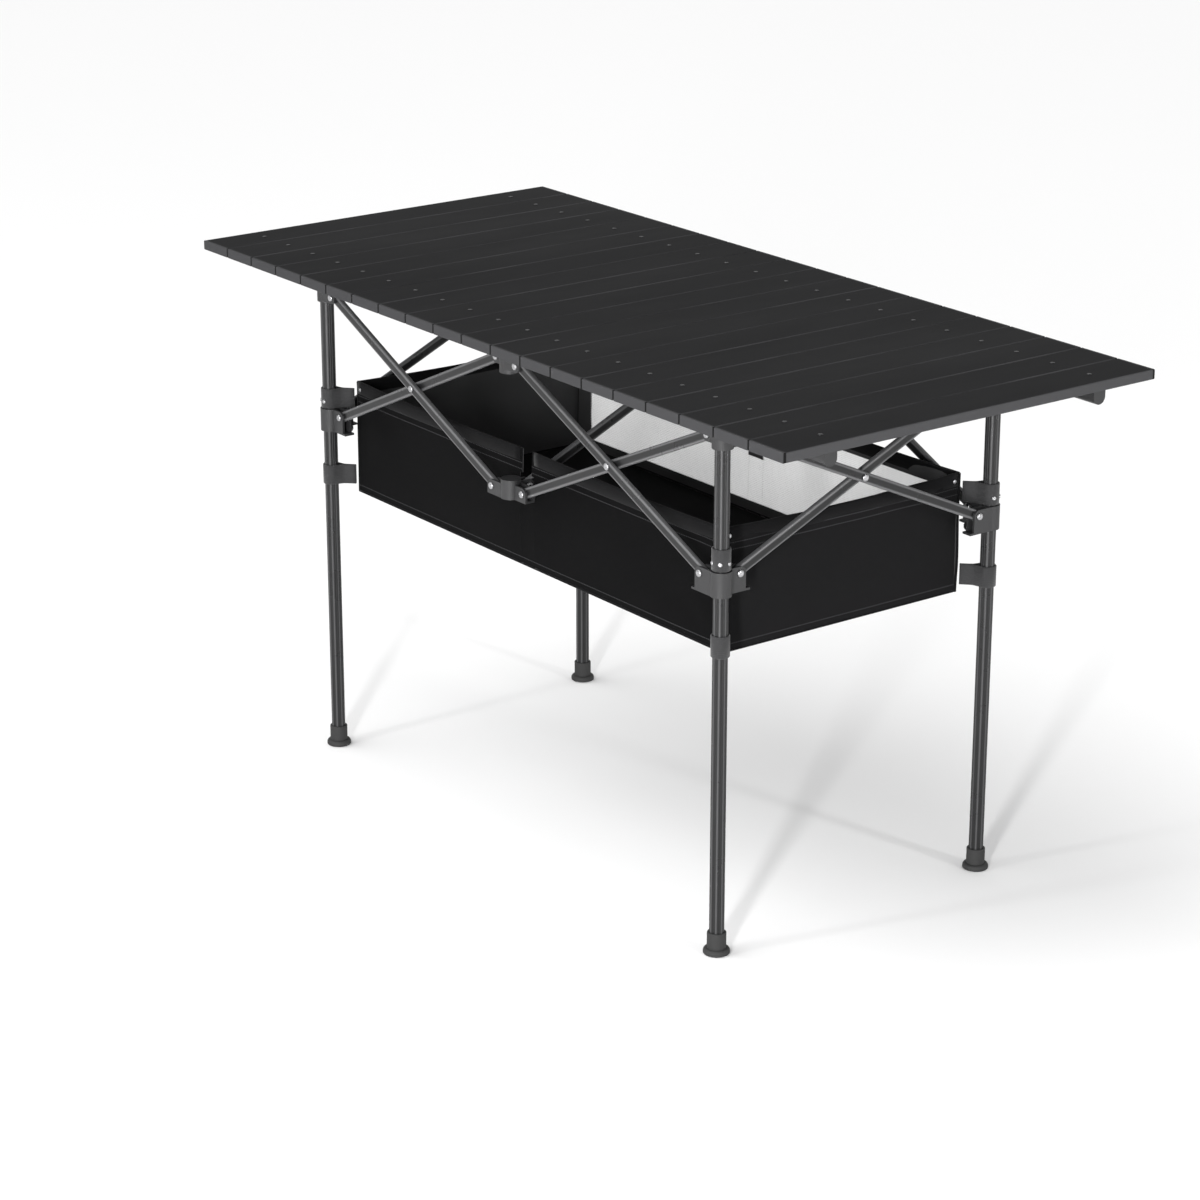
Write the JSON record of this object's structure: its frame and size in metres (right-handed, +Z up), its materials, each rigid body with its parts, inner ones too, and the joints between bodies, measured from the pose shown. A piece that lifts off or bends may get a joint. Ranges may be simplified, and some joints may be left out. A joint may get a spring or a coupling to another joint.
{
  "type": "camp kitchen table",
  "caption": "Folding camp kitchen table: roll-up slatted top on two rails, scissor frame with four tube legs, sliders and rubber feet, and a hanging fabric storage basket with a mesh back.",
  "frame": {"origin": "on the ground under the middle of the table top", "axes": "+X along the table, +Y from the front long side to the back long side, +Z up"},
  "size_m": [1.1994, 0.55, 0.67],
  "materials": {
    "frame_tube": "black anodised aluminium tube, satin",
    "slat": "black powder-coated aluminium slats, fine matte grain",
    "rail": "black anodised aluminium",
    "moulding": "charcoal glass-filled nylon, matte",
    "foot_rubber": "black rubber",
    "basket_fabric": "black coated polyester canvas",
    "basket_mesh": "light grey fine mesh with black binding",
    "webbing": "black woven webbing",
    "rivet_silver": "bright zinc-plated rivets"
  },
  "bodies": {
    "leg_front_left": {"leg_front_left": "frame_tube", "leg_cap_front_left": "moulding", "foot_front_left": "foot_rubber"},
    "slider_front_left": {"slider_front_left": "moulding", "basket_straps_front_left": "webbing", "basket_front": "basket_fabric", "basket_left": "basket_fabric"},
    "leg_front_right": {"leg_front_right": "frame_tube", "leg_cap_front_right": "moulding", "foot_front_right": "foot_rubber"},
    "slider_front_right": {"slider_front_right": "moulding", "basket_straps_front_right": "webbing", "basket_right": "basket_fabric"},
    "leg_back_right": {"leg_back_right": "frame_tube", "leg_cap_back_right": "moulding", "foot_back_right": "foot_rubber"},
    "slider_back_right": {"slider_back_right": "moulding", "basket_straps_back_right": "webbing"},
    "leg_back_left": {"leg_back_left": "frame_tube", "leg_cap_back_left": "moulding", "foot_back_left": "foot_rubber"},
    "slider_back_left": {"slider_back_left": "moulding", "basket_straps_back_left": "webbing", "basket_back": "basket_mesh"},
    "basket_floor_front": {"basket_floor_front": "basket_fabric"},
    "basket_floor_back": {"basket_floor_back": "basket_fabric"},
    "upper_hub_front_middle": {"upper_hub_front_middle": "moulding"},
    "lower_hub_front_middle": {"lower_hub_front_middle": "moulding"},
    "upper_hub_back_middle": {"upper_hub_back_middle": "moulding"},
    "lower_hub_back_middle": {"lower_hub_back_middle": "moulding"},
    "bar_front_1_down": {"bar_front_1_down": "frame_tube"},
    "bar_front_1_up": {"bar_front_1_up": "frame_tube"},
    "bar_front_2_down": {"bar_front_2_down": "frame_tube"},
    "bar_front_2_up": {"bar_front_2_up": "frame_tube"},
    "bar_right_down": {"bar_right_down": "frame_tube"},
    "bar_right_up": {"bar_right_up": "frame_tube"},
    "bar_back_1_down": {"bar_back_1_down": "frame_tube"},
    "bar_back_1_up": {"bar_back_1_up": "frame_tube"},
    "bar_back_2_down": {"bar_back_2_down": "frame_tube"},
    "bar_back_2_up": {"bar_back_2_up": "frame_tube"},
    "bar_left_down": {"bar_left_down": "frame_tube"},
    "bar_left_up": {"bar_left_up": "frame_tube"},
    "bar_middle_down": {"bar_middle_down": "frame_tube"},
    "bar_middle_up": {"bar_middle_up": "frame_tube"},
    "table_top": {"rail_front": "rail", "rail_back": "rail", "slats_10": "slat"},
    "slats_09": {"slats_09": "slat"},
    "slats_08": {"slats_08": "slat"},
    "slats_07": {"slats_07": "slat"},
    "slats_06": {"slats_06": "slat"},
    "slats_05": {"slats_05": "slat"},
    "slats_04": {"slats_04": "slat"},
    "slats_03": {"slats_03": "slat"},
    "slats_02": {"slats_02": "slat"},
    "slats_01": {"slats_01": "slat"}
  },
  "joints": [
    {"name": "frame_fold", "type": "hinge", "parent": "leg_front_left", "child": "bar_front_1_down", "pos_m": [-0.384, -0.205, 0.627], "axis": [0, 1, 0], "range_deg": [0, 61], "deforming": ["basket_front", "basket_back", "basket_left", "basket_right", "basket_floor_front", "basket_floor_back"]},
    {"name": "front_1_down_to_lower_hub", "type": "hinge", "parent": "bar_front_1_down", "child": "lower_hub_front_middle", "pos_m": [-0.026, -0.205, 0.46487], "axis": [0, 1, 0], "range_deg": [-61, 0]},
    {"name": "front_1_cross", "type": "hinge", "parent": "bar_front_1_down", "child": "bar_front_1_up", "pos_m": [-0.205, -0.205, 0.54594], "axis": [0, 1, 0], "range_deg": [-122, 0]},
    {"name": "front_1_up_to_slider", "type": "hinge", "parent": "bar_front_1_up", "child": "slider_front_left", "pos_m": [-0.384, -0.205, 0.46487], "axis": [0, 1, 0], "range_deg": [0, 61]},
    {"name": "front_1_up_to_upper_hub", "type": "hinge", "parent": "bar_front_1_up", "child": "upper_hub_front_middle", "pos_m": [-0.026, -0.205, 0.627], "axis": [0, 1, 0], "range_deg": [0, 61]},
    {"name": "upper_hub_to_front_2_down", "type": "hinge", "parent": "upper_hub_front_middle", "child": "bar_front_2_down", "pos_m": [0.026, -0.205, 0.627], "axis": [0, 1, 0], "range_deg": [0, 61]},
    {"name": "front_2_down_to_slider", "type": "hinge", "parent": "bar_front_2_down", "child": "slider_front_right", "pos_m": [0.384, -0.205, 0.46487], "axis": [0, 1, 0], "range_deg": [-61, 0]},
    {"name": "front_2_cross", "type": "hinge", "parent": "bar_front_2_down", "child": "bar_front_2_up", "pos_m": [0.205, -0.205, 0.54594], "axis": [0, 1, 0], "range_deg": [-122, 0]},
    {"name": "front_2_up_to_leg", "type": "hinge", "parent": "bar_front_2_up", "child": "leg_front_right", "pos_m": [0.384, -0.205, 0.627], "axis": [0, 1, 0], "range_deg": [0, 61]},
    {"name": "leg_to_left_up", "type": "hinge", "parent": "leg_front_left", "child": "bar_left_up", "pos_m": [-0.41, -0.179, 0.627], "axis": [1, 0, 0], "range_deg": [-61, 0]},
    {"name": "left_cross", "type": "hinge", "parent": "bar_left_up", "child": "bar_left_down", "pos_m": [-0.41, 0, 0.54594], "axis": [1, 0, 0], "range_deg": [0, 122]},
    {"name": "left_up_to_slider", "type": "hinge", "parent": "bar_left_up", "child": "slider_back_left", "pos_m": [-0.41, 0.179, 0.46487], "axis": [1, 0, 0], "range_deg": [0, 61]},
    {"name": "left_down_to_leg", "type": "hinge", "parent": "bar_left_down", "child": "leg_back_left", "pos_m": [-0.41, 0.179, 0.627], "axis": [1, 0, 0], "range_deg": [-61, 0]},
    {"name": "upper_hub_to_middle_down", "type": "hinge", "parent": "upper_hub_front_middle", "child": "bar_middle_down", "pos_m": [0, -0.179, 0.627], "axis": [-1, 0, 0], "range_deg": [0, 61]},
    {"name": "middle_down_to_lower_hub", "type": "hinge", "parent": "bar_middle_down", "child": "lower_hub_back_middle", "pos_m": [0, 0.179, 0.46487], "axis": [-1, 0, 0], "range_deg": [-61, 0]},
    {"name": "middle_cross", "type": "hinge", "parent": "bar_middle_down", "child": "bar_middle_up", "pos_m": [0, 0, 0.54594], "axis": [-1, 0, 0], "range_deg": [-122, 0]},
    {"name": "middle_up_to_upper_hub", "type": "hinge", "parent": "bar_middle_up", "child": "upper_hub_back_middle", "pos_m": [0, 0.179, 0.627], "axis": [-1, 0, 0], "range_deg": [0, 61]},
    {"name": "leg_to_right_down", "type": "hinge", "parent": "leg_front_right", "child": "bar_right_down", "pos_m": [0.41, -0.179, 0.627], "axis": [-1, 0, 0], "range_deg": [0, 61]},
    {"name": "right_down_to_slider", "type": "hinge", "parent": "bar_right_down", "child": "slider_back_right", "pos_m": [0.41, 0.179, 0.46487], "axis": [-1, 0, 0], "range_deg": [-61, 0]},
    {"name": "right_cross", "type": "hinge", "parent": "bar_right_down", "child": "bar_right_up", "pos_m": [0.41, 0, 0.54594], "axis": [-1, 0, 0], "range_deg": [-122, 0]},
    {"name": "right_up_to_leg", "type": "hinge", "parent": "bar_right_up", "child": "leg_back_right", "pos_m": [0.41, 0.179, 0.627], "axis": [-1, 0, 0], "range_deg": [0, 61]},
    {"name": "leg_to_back_2_up", "type": "hinge", "parent": "leg_back_left", "child": "bar_back_2_up", "pos_m": [-0.384, 0.205, 0.627], "axis": [0, -1, 0], "range_deg": [-61, 0]},
    {"name": "back_2_cross", "type": "hinge", "parent": "bar_back_2_up", "child": "bar_back_2_down", "pos_m": [-0.205, 0.205, 0.54594], "axis": [0, -1, 0], "range_deg": [0, 122]},
    {"name": "upper_hub_to_back_1_up", "type": "hinge", "parent": "upper_hub_back_middle", "child": "bar_back_1_up", "pos_m": [0.026, 0.205, 0.627], "axis": [0, -1, 0], "range_deg": [-61, 0]},
    {"name": "back_1_cross", "type": "hinge", "parent": "bar_back_1_up", "child": "bar_back_1_down", "pos_m": [0.205, 0.205, 0.54594], "axis": [0, -1, 0], "range_deg": [0, 122]},
    {"name": "floor_front_crease", "type": "hinge", "parent": "slider_front_left", "child": "basket_floor_front", "pos_m": [0, -0.1771, 0.36], "axis": [1, 0, 0], "range_deg": [0, 85.95]},
    {"name": "floor_back_crease", "type": "hinge", "parent": "slider_back_left", "child": "basket_floor_back", "pos_m": [0, 0.1771, 0.36], "axis": [1, 0, 0], "range_deg": [-85.95, 0]},
    {"name": "top_lift", "type": "slide", "parent": "leg_front_left", "child": "table_top", "axis": [0, 0, 1], "range_m": [0, 0.15]},
    {"name": "roll_up", "type": "hinge", "parent": "table_top", "child": "slats_09", "pos_m": [0.48, 0, 0.67], "axis": [0, 1, 0], "range_deg": [0, 34]},
    {"name": "roll_08", "type": "hinge", "parent": "slats_09", "child": "slats_08", "pos_m": [0.36, 0, 0.67], "axis": [0, 1, 0], "range_deg": [0, 34]},
    {"name": "roll_07", "type": "hinge", "parent": "slats_08", "child": "slats_07", "pos_m": [0.24, 0, 0.67], "axis": [0, 1, 0], "range_deg": [0, 34]},
    {"name": "roll_06", "type": "hinge", "parent": "slats_07", "child": "slats_06", "pos_m": [0.12, 0, 0.67], "axis": [0, 1, 0], "range_deg": [0, 34]},
    {"name": "roll_05", "type": "hinge", "parent": "slats_06", "child": "slats_05", "pos_m": [0, 0, 0.67], "axis": [0, 1, 0], "range_deg": [0, 34]},
    {"name": "roll_04", "type": "hinge", "parent": "slats_05", "child": "slats_04", "pos_m": [-0.12, 0, 0.67], "axis": [0, 1, 0], "range_deg": [0, 34]},
    {"name": "roll_03", "type": "hinge", "parent": "slats_04", "child": "slats_03", "pos_m": [-0.24, 0, 0.67], "axis": [0, 1, 0], "range_deg": [0, 34]},
    {"name": "roll_02", "type": "hinge", "parent": "slats_03", "child": "slats_02", "pos_m": [-0.36, 0, 0.67], "axis": [0, 1, 0], "range_deg": [0, 34]},
    {"name": "roll_01", "type": "hinge", "parent": "slats_02", "child": "slats_01", "pos_m": [-0.48, 0, 0.67], "axis": [0, 1, 0], "range_deg": [0, 34]}
  ],
  "couplings": [
    {"joint": "front_1_down_to_lower_hub", "follows": "frame_fold", "ratio": -1},
    {"joint": "front_1_cross", "follows": "frame_fold", "ratio": -2},
    {"joint": "front_1_up_to_slider", "follows": "frame_fold", "ratio": 1},
    {"joint": "front_1_up_to_upper_hub", "follows": "frame_fold", "ratio": 1},
    {"joint": "upper_hub_to_front_2_down", "follows": "frame_fold", "ratio": 1},
    {"joint": "front_2_down_to_slider", "follows": "frame_fold", "ratio": -1},
    {"joint": "front_2_cross", "follows": "frame_fold", "ratio": -2},
    {"joint": "front_2_up_to_leg", "follows": "frame_fold", "ratio": 1},
    {"joint": "leg_to_left_up", "follows": "frame_fold", "ratio": -1},
    {"joint": "left_cross", "follows": "frame_fold", "ratio": 2},
    {"joint": "left_up_to_slider", "follows": "frame_fold", "ratio": 1},
    {"joint": "left_down_to_leg", "follows": "frame_fold", "ratio": -1},
    {"joint": "upper_hub_to_middle_down", "follows": "frame_fold", "ratio": 1},
    {"joint": "middle_down_to_lower_hub", "follows": "frame_fold", "ratio": -1},
    {"joint": "middle_cross", "follows": "frame_fold", "ratio": -2},
    {"joint": "middle_up_to_upper_hub", "follows": "frame_fold", "ratio": 1},
    {"joint": "leg_to_right_down", "follows": "frame_fold", "ratio": 1},
    {"joint": "right_down_to_slider", "follows": "frame_fold", "ratio": -1},
    {"joint": "right_cross", "follows": "frame_fold", "ratio": -2},
    {"joint": "right_up_to_leg", "follows": "frame_fold", "ratio": 1},
    {"joint": "leg_to_back_2_up", "follows": "frame_fold", "ratio": -1},
    {"joint": "back_2_cross", "follows": "frame_fold", "ratio": 2},
    {"joint": "upper_hub_to_back_1_up", "follows": "frame_fold", "ratio": -1},
    {"joint": "back_1_cross", "follows": "frame_fold", "ratio": 2},
    {"joint": "floor_front_crease", "follows": "frame_fold", "ratio": 1.409},
    {"joint": "floor_back_crease", "follows": "frame_fold", "ratio": -1.409},
    {"joint": "roll_08", "follows": "roll_up", "ratio": 1},
    {"joint": "roll_07", "follows": "roll_up", "ratio": 1},
    {"joint": "roll_06", "follows": "roll_up", "ratio": 1},
    {"joint": "roll_05", "follows": "roll_up", "ratio": 1},
    {"joint": "roll_04", "follows": "roll_up", "ratio": 1},
    {"joint": "roll_03", "follows": "roll_up", "ratio": 1},
    {"joint": "roll_02", "follows": "roll_up", "ratio": 1},
    {"joint": "roll_01", "follows": "roll_up", "ratio": 1}
  ]
}
